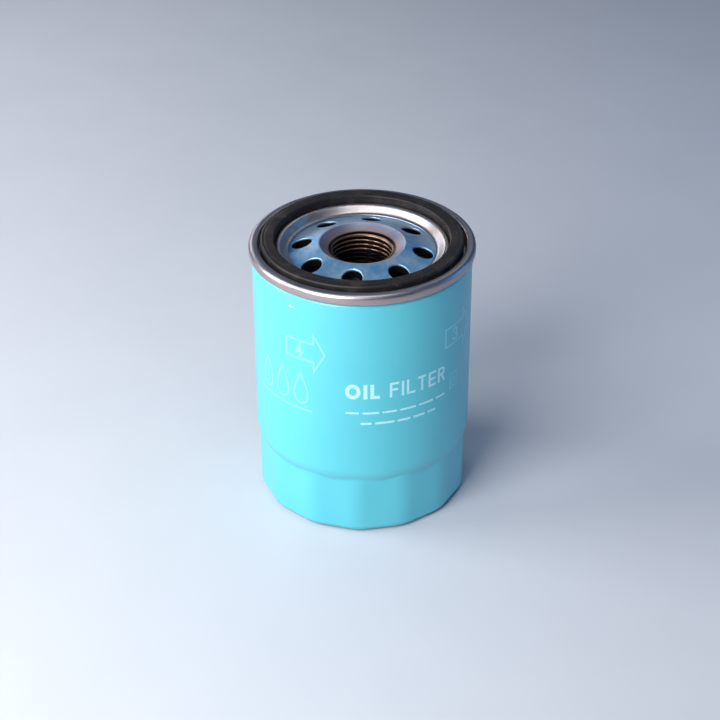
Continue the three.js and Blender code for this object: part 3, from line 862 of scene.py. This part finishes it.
def makePlate():
    rim, bottom, top = reach("tapping_plate")[1:]
    major = plate["threadMajor"]
    neck = major + plate["neckWall"]
    crest = major + plate["crestOffset"]
    hole = plate["holeRadius"]
    circle = crest + plate["holeGap"] + hole
    coneFoot = circle + hole + plate["coneGap"]
    mouthLevel = top - plate["funnelDepth"]
    flange = seamLayers()["top"] - lid["channelDepth"] - seam["lidSheet"] - plate["flangeGap"]
    slope = (top - flange) / (coneFoot - crest)
    underFoot = coneFoot - plate["thickness"] * math.tan(math.atan(slope) / 2)
    innerEdge = circle - hole - plate["innerMargin"]
    outerEdge = circle + hole + plate["outerMargin"]
    segments = plate["holes"] * plate["spans"]
    shift = math.radians(plate["holeTurn"]) - math.pi / plate["holes"]
    skin = Skin()

    def softly(height, level):
        # the cone runs into the flat flange through a small fillet
        return (height + level + math.sqrt((height - level) ** 2 + plate["softFoot"] ** 2)) / 2

    def over(radius):
        return softly((coneFoot - radius) * slope + flange, flange)

    def under(radius):
        level = flange - plate["thickness"]
        return softly((underFoot - radius) * slope + level, level)

    def ring(radius, height):
        return skin.loop([polar(radius, shift + turn * i / segments, height) for i in range(segments)])

    def strip(profile):
        loops = [ring(p[0], p[1]) for p in profile]
        for first, second in zip(loops, loops[1:]):
            skin.band(first, second)

    # the tapped bore, bottom to top, as rings whose radius follows the thread
    boreTop = mouthLevel - plate["mouthEase"]
    steps = plate["boreSteps"]
    bore = []
    for s in range(steps + 1):
        height = bottom + (boreTop - bottom) * s / steps
        loop = []
        for i in range(segments):
            angle = shift + turn * i / segments
            loop.append(polar(threadRadius(angle, height, bottom, boreTop), angle, height))
        bore.append(skin.loop(loop))
    for first, second in zip(bore, bore[1:]):
        skin.band(first, second)
    minor = threadRadius(0, boreTop, bottom, boreTop)
    strip([Vector((minor, boreTop))] + divided(bent([
        (minor + 0.02, boreTop + 0.03),
        (major + 0.45, mouthLevel + 0.12, 0.35),
        (crest - 0.75, top - 0.42, 0.5),
        (crest - 0.25, top - 0.03, 0.16),
        (crest + 0.1, over(crest + 0.1) + 0.02, 0.08),
        (crest + 0.5, over(crest + 0.5)),
        (innerEdge, over(innerEdge)),
    ]), 0.5))
    strip(divided([Vector((outerEdge, over(outerEdge)))] + bent([
        (outerEdge + 0.6, flange + 0.002),
        (rim, flange, 0.4),
        (rim, flange - plate["thickness"], 0.4),
        (outerEdge + 0.6, flange - plate["thickness"] + 0.002),
        (outerEdge, under(outerEdge)),
    ]), 2.0))
    strip(bent([
        (innerEdge, under(innerEdge)),
        (neck, under(neck), 1.2),
        (neck, bottom, 0.35),
        (minor, bottom),
    ]))

    # one cell of plate round each oil hole, above and below, joined through the hole
    ease = plate["rimRadius"]
    half = math.pi / plate["holes"]
    spans = plate["spans"]
    sides = plate["sides"]
    for h in range(plate["holes"]):
        middle = math.radians(plate["holeTurn"]) + turn * h / plate["holes"]
        border = [(-half + 2 * half * i / spans, innerEdge) for i in range(spans)]
        border += [(half, innerEdge + (outerEdge - innerEdge) * i / sides) for i in range(sides)]
        border += [(half - 2 * half * i / spans, outerEdge) for i in range(spans)]
        border += [(-half, outerEdge - (outerEdge - innerEdge) * i / sides) for i in range(sides)]
        flat = [Vector((r * math.sin(a), r * math.cos(a) - circle)) for a, r in border]

        def around(share, surface, wider=0.0, lift=0.0):
            # share 0 lies on the hole's rim, 1 on the cell's border
            points = []
            for p in flat:
                q = (p.normalized() * (hole + wider)).lerp(p, share)
                radius = math.hypot(q.x, q.y + circle)
                points.append(polar(radius, middle + math.atan2(q.x, q.y + circle), surface(radius) + lift))
            return skin.loop(points)

        loops = [around(share, over, ease) for share in (1, 0.8, 0.6, 0.4, 0.22, 0.08, 0)]
        for s in range(1, 6):
            a = math.pi / 2 * s / 5
            loops.append(around(0, over, ease * (1 - math.sin(a)), ease * (math.cos(a) - 1)))
        for s in range(1, 5):
            loops.append(around(0, lambda r, s=s: over(r) - ease + (under(r) + 0.2 - over(r) + ease) * s / 5))
        for s in range(5):
            a = math.pi / 2 * s / 4
            loops.append(around(0, under, 0.2 * (1 - math.cos(a)), 0.2 * (1 - math.sin(a))))
        loops += [around(share, under, 0.2) for share in (0.15, 0.4, 0.7, 1)]
        for first, second in zip(loops, loops[1:]):
            skin.band(first, second)
    skin.build("threaded_plate", "shell", blueZinc(), "zinc_plate", ["tapping_plate"], 44)


diaphragm = {"wall": 1.35, "collarHeight": 2.4, "blendInset": 1.2}


def makeDiaphragm():
    inner, collar, bottom, top = reach("anti_drain_neck")
    lipOuter, _, high = reach("anti_drain_lip")[1:]
    corners = [
        (inner, bottom, 0.2),
        (collar, bottom, 0.3),
        (collar, bottom + diaphragm["collarHeight"], 0.7),
        (lipOuter - 2.2, high - diaphragm["wall"] - 0.5, 1.2),
        (lipOuter, high - 0.95, 0.3),
        (lipOuter, high, 0.15),
        (lipOuter - 1.2, high, 0.15),
        (lipOuter - 2.4, high - 0.75, 0.9),
        (collar - 0.1, top - 0.2, 0.9),
        (inner, top, 0.25),
        (inner, (top + bottom) / 2),
    ]
    skin = revolved([tuple(p) for p in divided(bent(corners), 0.9)], 192)
    ring = skin.build("drain_diaphragm", None, diaphragmRubber(), "diaphragm_rubber",
                      ["anti_drain_neck", "anti_drain_lip"], 50)
    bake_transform(ring)


element = {
    "capSheet": 0.4,
    "capRim": 4.0,
    "beadDepth": 0.5,
    "paperSheet": 0.6,
    "pleats": 48,
    "paperHalf": 0.17,
    "foldRadius": 0.3,
    "foldInset": 0.2,
    "clipRoom": 0.75,
    "tubeHole": 2.25,
    "tubeRows": 5,
    "tubeColumns": 6,
    "meniscus": 0.5,
}


def makeEndCaps():
    sheet = element["capSheet"]
    inner, outer, low, top = reach("upper_end_cap")
    level = top - sheet / 2
    bead = element["beadDepth"]
    rim = outer - sheet / 2
    upper = bent([
        (inner + sheet / 2, low + element["capRim"] / 2),
        (inner + sheet / 2, level, 0.7),
        (inner + 4.0, level, 0.6),
        (inner + 5.0, level - bead, 0.6),
        (inner + 7.0, level - bead, 0.6),
        (inner + 8.0, level, 0.6),
        (rim, level, 0.8),
        (rim, low),
    ])
    skin = revolved([tuple(p) for p in sheetLoop(divided(upper, 1.5), sheet)], 216)
    skin.build("top_cap", "element", stampedSteel("capSteelTop"), "cap_steel", ["upper_end_cap"], 50)
    inner, outer, bottom, high = reach("lower_end_cap")
    level = bottom + sheet / 2
    rim = outer - sheet / 2
    lower = bent([
        (inner, level),
        (inner + 8.6, level, 0.5),
        (inner + 9.4, level + bead / 2, 0.5),
        (inner + 12.0, level + bead / 2, 0.5),
        (inner + 12.8, level, 0.5),
        (rim, level, 0.8),
        (rim, high),
    ])
    skin = revolved([tuple(p) for p in sheetLoop(divided(lower, 1.5), sheet)], 216)
    skin.build("bottom_cap", "element", stampedSteel("capSteelBottom"), "cap_steel", ["lower_end_cap"], 50)


def makePotting():
    # Poured adhesive: flat where the cap holds it, creeping up the pleats on the open side.
    for node, name, open_ in (("upper_potting", "top_potting", -1), ("lower_potting", "bottom_potting", 1)):
        inner, outer, low, high = reach(node)
        flat, level = (high, low) if open_ < 0 else (low, high)
        sag = element["meniscus"] * open_

        def creep(angle, r, z):
            if abs(z - level) < 0.8:
                wave = 0.5 + 0.5 * math.cos(element["pleats"] * angle)
                z -= sag * (0.25 + 0.75 * wave) * math.sin(math.pi * (r - inner) / (outer - inner))
            return r, z

        corners = [(inner, flat, 0.2), (outer, flat, 0.2), (outer, level, 0.25), (inner, level, 0.25)]
        profile = bent(corners)
        profile = divided(profile + [profile[0]], 1.4)[:-1]
        skin = revolved([tuple(p) for p in profile], 288, creep)
        skin.build(name, "element", curedPotting(), "potting", [node], 50)


def makePaper():
    # One folded strip: straight flanks between rounded folds, drawn as a closed outline and raised.
    inner, outer, low, high = reach("filter_paper")
    sheet = element["paperSheet"]
    pleats = element["pleats"]
    half = math.pi / pleats
    clipped = outer - element["clipRoom"]
    fold, inset = element["foldRadius"], element["foldInset"]
    middle = []
    for pleat in range(pleats):
        angle = 2 * half * pleat
        peak = (clipped if pleat == 0 else outer) - sheet * 0.62
        valley = inner + sheet * 0.62
        for s in range(-4, 5):
            swing = math.pi / 2 * s / 4
            outward = peak + fold * math.cos(swing) - inset
            middle.append(Vector((outward, angle + fold * math.sin(swing) / peak)))
        for s in range(1, 6):
            t = s / 6
            middle.append(Vector((peak + 0.1 + (valley - 0.1 - peak) * t, angle + half * t)))
        for s in range(-4, 5):
            swing = math.pi / 2 * s / 4
            outward = valley - fold * math.cos(swing) + inset
            middle.append(Vector((outward, angle + half + fold * math.sin(swing) / valley)))
        for s in range(1, 6):
            t = s / 6
            middle.append(Vector((valley - 0.1 + (peak + 0.1 - valley) * t, angle + half + half * t)))
    points = [Vector(polar(p.x, p.y, 0)) for p in middle]
    count = len(points)
    sides = [[], []]
    for i, point in enumerate(points):
        along = (points[(i + 1) % count] - points[i - 1]).normalized()
        across = Vector((along.y, -along.x, 0)) * element["paperHalf"]
        sides[0].append(point + across)
        sides[1].append(point - across)
    skin = Skin()
    levels = 12
    loops = []
    for side in sides:
        rings = []
        for level in range(levels + 1):
            z = low + (high - low) * level / levels
            rings.append(skin.loop([(p.x, p.y, z) for p in side]))
        for first, second in zip(rings, rings[1:]):
            skin.band(first, second)
        loops.append(rings)
    skin.band(loops[0][0], loops[1][0])
    skin.band(loops[0][-1], loops[1][-1])
    skin.build("pleated_paper", "element", filterFibre(), "paper", ["filter_paper"], 60)


def cellWall(skin, inner, outer, low, high, rows, columns, outline, spans, sides, stagger, turned=0.0):
    # A round wall made of cells, each with an opening whose outline is a list of (across, up) points.
    for row in range(rows):
        for column in range(columns):
            middle = turned + turn * (column + (row % 2) * 0.5 * stagger) / columns
            height = (high - low) / rows
            centre = low + height * (row + 0.5)
            half = math.pi / columns
            border = [(-half + 2 * half * i / spans, -height / 2) for i in range(spans)]
            border += [(half, -height / 2 + height * i / sides) for i in range(sides)]
            border += [(half - 2 * half * i / spans, height / 2) for i in range(spans)]
            border += [(-half, height / 2 - height * i / sides) for i in range(sides)]
            flat = [Vector((a * outer, z)) for a, z in border]

            def around(share, radius):
                points = []
                for p in flat:
                    q = outline(p).lerp(p, share)
                    points.append(polar(radius, middle + q.x / outer, centre + q.y))
                return skin.loop(points)

            loops = [around(share, outer) for share in (1, 0.6, 0.25, 0.06)]
            loops += [around(0, outer - 0.08), around(0, inner + 0.08)]
            loops += [around(share, inner) for share in (0.06, 0.25, 0.6, 1)]
            for first, second in zip(loops, loops[1:]):
                skin.band(first, second)


def makeTube():
    inner, outer, low, high = reach("centre_tube")
    skin = Skin()
    end = 0.6
    columns = element["tubeColumns"]
    cellWall(skin, inner, outer, low + end, high - end, element["tubeRows"], columns,
             lambda p: p.normalized() * element["tubeHole"], 16, 10, True, math.pi / 2)
    count = columns * 16
    odd = (element["tubeRows"] - 1) % 2 * 0.5
    for level, edge, offset in ((low + end, low, 0), (high - end, high, odd)):
        start = math.pi / 2 - math.pi / columns + turn * offset / columns
        rings = []
        for radius, z in ((outer, level), (outer, edge), (inner, edge), (inner, level)):
            rings.append(skin.loop([polar(radius, start + turn * i / count, z) for i in range(count)]))
        for first, second in zip(rings, rings[1:]):
            skin.band(first, second)
    skin.build("perforated_tube", "element", stampedSteel("tubeSteel", (0.56, 0.55, 0.52), 0.36),
               "cap_steel", ["centre_tube"], 44)


spring = {"holdWire": 1.6, "holdTurns": 3, "bypassWire": 0.8, "bypassTurns": 5, "wireSides": 14}


def coiled(startRadius, endRadius, low, high, turns, wire, stepsPerTurn):
    # Wire wound on a helix whose end turns lie almost flat; its two ends are closed.
    skin = Skin()
    steps = turns * stepsPerTurn
    sides = spring["wireSides"]
    loops = []
    for step in range(steps + 1):
        t = step / steps
        angle = turn * turns * t
        radius = startRadius + (endRadius - startRadius) * t
        rise = 0.7 * (3 * t * t - 2 * t * t * t) + 0.3 * t
        centre = Vector((radius * math.cos(angle), radius * math.sin(angle), low + (high - low) * rise))
        out = Vector((math.cos(angle), math.sin(angle), 0))
        ease = min(1.0, 0.72 + 0.28 * min(step, steps - step) / 2)
        loop = []
        for i in range(sides):
            swing = turn * i / sides
            aside = out * math.cos(swing) + Vector((0, 0, 1)) * math.sin(swing)
            loop.append(centre + aside * wire / 2 * ease)
        loops.append(skin.loop([tuple(p) for p in loop]))
        if step in (0, steps):
            skin.fan(loops[-1], tuple(centre))
    for first, second in zip(loops, loops[1:]):
        skin.band(first, second)
    return skin


def stroke(joint):
    # How far the joint slides, in millimetres.
    joints = frame["record"]["behaviour"]["joints"]
    return next(j["range_m"][1] for j in joints if j["name"] == joint) / mm


def makeSprings():
    inner, outer, low, high = reach("hold_down_spring")
    wire = spring["holdWire"]
    half = wire / 2
    skin = coiled(outer - half, inner + half, low + half, high - half, spring["holdTurns"], wire, 96)
    piece = skin.build("bottom_spring", "shell", springWire(), "spring_wire", ["hold_down_spring"], 50)
    keep = 1 - stroke("element_float") / (high - low)
    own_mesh(piece)
    inner, outer, low, high = reach("bypass_spring")
    wire = spring["bypassWire"]
    half = wire / 2
    skin = coiled(outer - half, outer - half, low + half, high - half, spring["bypassTurns"], wire, 48)
    piece = skin.build("valve_spring", "element", springWire(), "spring_wire", ["bypass_spring"], 50)
    keep = 1 - stroke("bypass_valve_lift") / (high - low)
    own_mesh(piece)


valve = {
    "sheet": 0.5,
    "cupStep": 0.12,
    "windows": 4,
    "windowWidth": 7.0,
    "windowHeight": 5.5,
    "windowMargin": 1.2,
    "windowPower": 5,
    "roofHole": 2.1,
    "sealGap": 0.1,
    "discSheet": 0.6,
    "hubHeight": 1.4,
    "hubFoot": 3.4,
    "hubTop": 3.0,
    "stemRadius": 1.6,
    "footRadius": 1.3,
}


def makeSeatAndValve():
    sheet = valve["sheet"]
    inner, outer, low, high = reach("spring_seat")
    level = high - sheet / 2
    line = bent([
        (inner + sheet / 2, low),
        (inner + sheet / 2, level, 0.6),
        (outer - 2.2, level, 0.4),
        (outer - 1.4, level - valve["cupStep"], 0.3),
        (outer, level - valve["cupStep"]),
    ])
    skin = revolved([tuple(p) for p in sheetLoop(divided(line, 1.2), sheet - 0.02)], 192)
    skin.build("spring_cup", "element", stampedSteel("seatSteel"), "cap_steel", ["spring_seat"], 50)

    skin = roundedRing("bypass_seat_plate", (0.12, 0.12, 0.12, 0.2))
    steel = stampedSteel("seatDiscSteel")
    skin.build("valve_seat_disc", "element", steel, "cap_steel", ["bypass_seat_plate"], 50)

    # the cage: flange, windowed wall and roof, all one skin of the same ring count
    flange, low, high = reach("bypass_housing")[1:]
    wall = reach("bypass_housing", low + 3)[1]
    windows = valve["windows"]
    spans = 24
    count = windows * spans
    middle = reach("bypass_seat_plate")[3]
    centre = (middle + high) / 2
    margin = valve["windowHeight"] / 2 + valve["windowMargin"]
    bandLow, bandHigh = centre - margin, centre + margin
    skin = Skin()

    def window(p):
        wide = valve["windowWidth"] / 2
        tall = valve["windowHeight"] / 2
        power = valve["windowPower"]
        return p * (abs(p.x / wide) ** power + abs(p.y / tall) ** power) ** (-1 / power)

    cellWall(skin, wall - sheet, wall, bandLow, bandHigh, 1, windows, window, spans, 10, False)
    start = -math.pi / windows

    def rings(profile):
        loops = []
        for radius, z in profile:
            loops.append(skin.loop([polar(radius, start + turn * i / count, z) for i in range(count)]))
        for first, second in zip(loops, loops[1:]):
            skin.band(first, second)

    rings(bent([
        (wall, bandLow),
        (wall, low + sheet, 0.5),
        (flange, low + sheet, 0.15),
        (flange, low, 0.15),
        (wall - sheet, low, 0.5),
        (wall - sheet, bandLow),
    ]))
    rings(bent([
        (wall, bandHigh),
        (wall, high, 0.8),
        (valve["roofHole"], high, 0.12),
        (valve["roofHole"], high - sheet, 0.12),
        (wall - sheet, high - sheet, 0.4),
        (wall - sheet, bandHigh),
    ]))
    skin.build("valve_cage", "element", stampedSteel("cageSteel"), "cap_steel", ["bypass_housing"], 50)

    skin = roundedRing("bypass_seal", (0.12, 0.2, 0.2, 0.12))
    skin.build("valve_seal", "bypass_valve", diaphragmRubber(), "diaphragm_rubber", ["bypass_seal"], 50)

    outer, low, high = reach("bypass_poppet")[1:]
    disc = reach("bypass_seal")[3] + valve["sealGap"]
    rim = disc + valve["discSheet"]
    hub = disc + valve["hubHeight"]
    stem = valve["stemRadius"]
    foot = valve["footRadius"]
    side = bent([
        (foot, low, 0.15),
        (foot, disc, 0.1),
        (outer, disc, 0.2),
        (outer, rim, 0.2),
        (valve["hubFoot"], rim, 0.3),
        (valve["hubTop"], hub, 0.3),
        (stem, hub, 0.3),
        (stem, high - 0.5, 0.5),
        (0.3, high, 0.1),
        (0.05, high),
    ])
    skin = revolved([(0, low)] + [tuple(p) for p in side] + [(0, high)], 96)
    steel = stampedSteel("poppetSteel")
    skin.build("valve_poppet", "bypass_valve", steel, "cap_steel", ["bypass_poppet"], 50)

    # the folded clip stays as it is in the frame and only gets its finish
    clip = frame["nodes"]["media_seam_clip"]
    clip.data.materials.clear()
    clip.data.materials.append(stampedSteel("clipSteel"))


label = {
    "lift": 0.012,
    "thickness": 0.03,
    "line": 0.62,
    "arrowStart": -42.2,
    "arrowNeck": -25.6,
    "arrowTip": -19.5,
    "arrowMiddle": 63.9,
    "arrowHalfBox": 3.1,
    "arrowHalfHead": 6.4,
    "numeralMiddle": -34.0,
    "numeralHeight": 4.7,
    "numeralShare": 0.66,
    "numeralWeight": 0.85,
    "titleStart": -9.0,
    "titleBottom": 49.9,
    "titleHeight": 5.1,
    "titleEnd": 47.5,
    "bold": 1.15,
    "light": 0.75,
    "spacing": 0.9,
    "buttGap": 1.02,
    # bottom, height, first and last angle of each row of dashes
    "dashRows": ((43.7, 2.4, -8.8, 47.8), (39.9, 2.6, -1.1, 41.0)),
    "dashShare": 0.28,
    "dashGap": 1.1,
    "dashWidths": (3.2, 6.4),
    "dashLeast": 2.2,
    "drops": (-58.5, -46.0, -33.5),
    "dropMiddle": 50.6,
    "dropSize": 5.4,
    "dropLine": 0.55,
    "rule": (-67, 42.9, -27, 43.4),
    "box": (52.3, 45.0, 58.2, 50.2),
    "boxLine": 0.3,
    "boxDropMiddle": 47.4,
    "boxDropSize": 1.7,
}


def oval(steps=36):
    angles = [turn * i / steps for i in range(steps)]
    return [(0.5 + 0.5 * math.sin(a), 0.5 + 0.5 * math.cos(a)) for a in angles]


# Each letter is a few strokes; the points listed as joined butt against another stroke.
letterShapes = {
    "O": [(oval(), True)],
    "I": [([(0.5, 0), (0.5, 1)], False)],
    "L": [([(0, 1), (0, 0), (1, 0)], False)],
    "F": [([(0, 0), (0, 1), (1, 1)], False), ([(0, 0.52), (0.85, 0.52)], False)],
    "T": [([(0, 1), (1, 1)], False), ([(0.5, 0), (0.5, 1)], False)],
    "E": [([(1, 1), (0, 1), (0, 0), (1, 0)], False), ([(0, 0.5), (0.9, 0.5)], False)],
    "R": [([(0, 0), (0, 1), (0.7, 1), (0.95, 0.88), (0.95, 0.62), (0.7, 0.5), (0.3, 0.5)], False),
          ([(0.55, 0.5), (1, 0)], False)],
    "1": [([(0.2, 0.75), (0.55, 1), (0.55, 0)], False)],
    "2": [([(0.05, 0.75), (0.15, 0.92), (0.35, 1), (0.65, 1), (0.88, 0.9), (0.95, 0.74), (0.85, 0.56),
            (0, 0), (1, 0)], False)],
    "3": [([(0.05, 0.85), (0.25, 1), (0.68, 1), (0.92, 0.88), (0.92, 0.66), (0.66, 0.53), (0.95, 0.4),
            (1, 0.2), (0.8, 0.03), (0.3, 0), (0, 0.14)], False)],
    "4": [([(1, 0.3), (0, 0.3), (0.66, 1), (0.66, 0)], False)],
}
joined = {sign: [] for sign in letterShapes}
joined.update({"F": [(0, 0.52)], "T": [(0.5, 1)], "E": [(0, 0.5)], "R": [(0.55, 0.5)]})


class Print:
    # Flat artwork in millimetres, x round the canister and y up it, wrapped on at the end.
    def __init__(self, radius):
        self.radius = radius
        self.work = bmesh.new()

    def across(self, degrees):
        return math.radians(degrees) * self.radius

    def stroke(self, path, width, closed=True):
        # A mitred line of even width.
        count = len(path)
        path = [Vector(p) for p in path]
        inner = []
        outer = []
        for i, point in enumerate(path):
            back = (point - path[i - 1]).normalized() if closed or i else None
            ahead = (path[(i + 1) % count] - point).normalized() if closed or i < count - 1 else back
            back = back or ahead
            along = (back + ahead).normalized()
            side = Vector((-along.y, along.x)) * width / 2 / max(along.dot(back), 0.35)
            inner.append(self.work.verts.new((point + side).to_3d()))
            outer.append(self.work.verts.new((point - side).to_3d()))
        for i in range(count if closed else count - 1):
            j = (i + 1) % count
            self.work.faces.new((inner[i], inner[j], outer[j], outer[i]))

    def bar(self, x0, y0, x1, y1):
        corners = [self.work.verts.new((x, y, 0)) for x, y in ((x0, y0), (x1, y0), (x1, y1), (x0, y1))]
        self.work.faces.new(corners)

    def letter(self, sign, x, y, wide, tall, weight):
        # Strokes given on a unit square, drawn so that the ink fills the letter's box exactly.
        for path, closed in letterShapes[sign]:
            left, low = x + weight / 2, y + weight / 2
            placed = [(left + px * (wide - weight), low + py * (tall - weight)) for px, py in path]
            if not closed:
                for end, near in ((0, 1), (-1, -2)):
                    tip = Vector(placed[end])
                    out = (tip - Vector(placed[near])).normalized() * weight / 2
                    free = path[end] not in joined[sign]
                    placed[end] = tuple(tip + out if free else tip - out * label["buttGap"])
            self.stroke(placed, weight, closed)

    def wrap(self, name, finish):
        work = self.work
        bmesh.ops.remove_doubles(work, verts=work.verts, dist=1e-4)
        low = min(v.co.x for v in work.verts)
        high = max(v.co.x for v in work.verts)
        for i in range(1, math.ceil(high - low)):
            everything = work.verts[:] + work.edges[:] + work.faces[:]
            bmesh.ops.bisect_plane(work, geom=everything, plane_co=(low + i, 0, 0), plane_no=(1, 0, 0))
        bmesh.ops.triangulate(work, faces=work.faces)
        bmesh.ops.dissolve_degenerate(work, edges=work.edges, dist=1e-4)
        bmesh.ops.recalc_face_normals(work, faces=work.faces)
        raised = bmesh.ops.extrude_face_region(work, geom=work.faces[:], use_keep_orig=True)
        for item in raised["geom"]:
            if isinstance(item, bmesh.types.BMVert):
                item.co.z = label["thickness"]
        for v in work.verts:
            v.co = Vector(polar(self.radius + label["lift"] + v.co.z, v.co.x / self.radius, v.co.y)) * mm
        bmesh.ops.recalc_face_normals(work, faces=work.faces)
        mesh = bpy.data.meshes.new(name)
        work.to_mesh(mesh)
        work.free()
        mesh.materials.append(finish)
        piece = bpy.data.objects.new(name, mesh)
        bpy.context.scene.collection.objects.link(piece)
        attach(piece, "shell")


def makePrint():
    radius = reach("canister", 20, 60)[1]
    ink = printInk("printInk", (0.46, 0.82, 0.88), (0.24, 0.68, 0.82))
    fadedInk = printInk("fadedInk", (0.25, 0.68, 0.79), (0.13, 0.58, 0.72))
    middle = label["arrowMiddle"]
    for quarter, numeral in ((0, "4"), (1, "3"), (2, "2"), (3, "1")):
        art = Print(radius)
        shift = 90 * quarter
        places = ("arrowStart", "arrowNeck", "arrowTip", "numeralMiddle")
        start, neck, tip, centre = (art.across(label[place] + shift) for place in places)
        box, head = label["arrowHalfBox"], label["arrowHalfHead"]
        art.stroke([
            (start, middle - box),
            (neck, middle - box),
            (neck, middle - head),
            (tip, middle),
            (neck, middle + head),
            (neck, middle + box),
            (start, middle + box),
        ], label["line"])
        tall = label["numeralHeight"]
        wide = tall * label["numeralShare"]
        art.letter(numeral, centre - wide / 2, middle - tall / 2, wide, tall, label["numeralWeight"])
        art.wrap("turn_arrow_" + numeral, fadedInk)

    art = Print(radius)
    left, right = art.across(label["titleStart"]), art.across(label["titleEnd"])
    low, tall = label["titleBottom"], label["titleHeight"]
    signs = [(sign, label["bold"]) for sign in "OIL"]
    signs += [(" ", 0)]
    signs += [(sign, label["light"]) for sign in "FILTER"]
    widths = [{"O": 5.0, "I": weight, " ": 1.3}.get(sign, 3.1) for sign, weight in signs]
    fit = (right - left - label["spacing"] * (len(signs) - 1)) / sum(widths)
    x = left
    for (sign, weight), wide in zip(signs, widths):
        if sign != " ":
            art.letter(sign, x, low, wide * fit, tall, weight)
        x += wide * fit + label["spacing"]
    art.wrap("print_title", ink)

    # rows of plain dashes in place of small print
    art = Print(radius)
    chance = random.Random(3)
    for low, tall, first, last in label["dashRows"]:
        x, end = art.across(first), art.across(last)
        margin = tall * (1 - label["dashShare"]) / 2
        while x < end:
            wide = min(chance.uniform(*label["dashWidths"]), end - x)
            if end - x - wide < label["dashLeast"]:
                wide = end - x
            art.bar(x, low + margin, x + wide, low + tall - margin)
            x += wide + label["dashGap"]
    art.wrap("print_rules", ink)

    # three oil drops in outline over a rule, and a small boxed drop
    art = Print(radius)

    def drop(x, y, size, width):
        path = []
        for i in range(40):
            t = turn * i / 40
            path.append((x + size * 0.62 * math.sin(t) * math.sin(t / 2) ** 1.4, y + size * math.cos(t)))
        art.stroke(path, width)

    for angle in label["drops"]:
        drop(art.across(angle), label["dropMiddle"], label["dropSize"], label["dropLine"])
    start, low, end, high = label["rule"]
    art.bar(art.across(start), low, art.across(end), high)
    start, low, end, high = label["box"]
    left, right = art.across(start), art.across(end)
    art.stroke([(left, low), (right, low), (right, high), (left, high)], label["boxLine"])
    drop((left + right) / 2, label["boxDropMiddle"], label["boxDropSize"], label["boxLine"])
    art.wrap("print_marks", fadedInk)


placeCamera()
placeLights()
placeFloor()
print("studio ready")
makeCanister()
makeLid()
makeCompound()
makeGasket()
makePlate()
makeDiaphragm()
print("shell pieces made")
makeEndCaps()
makePotting()
makePaper()
makeTube()
makeSprings()
makeSeatAndValve()
print("element and bypass valve made")
makePrint()
print("canister printed")
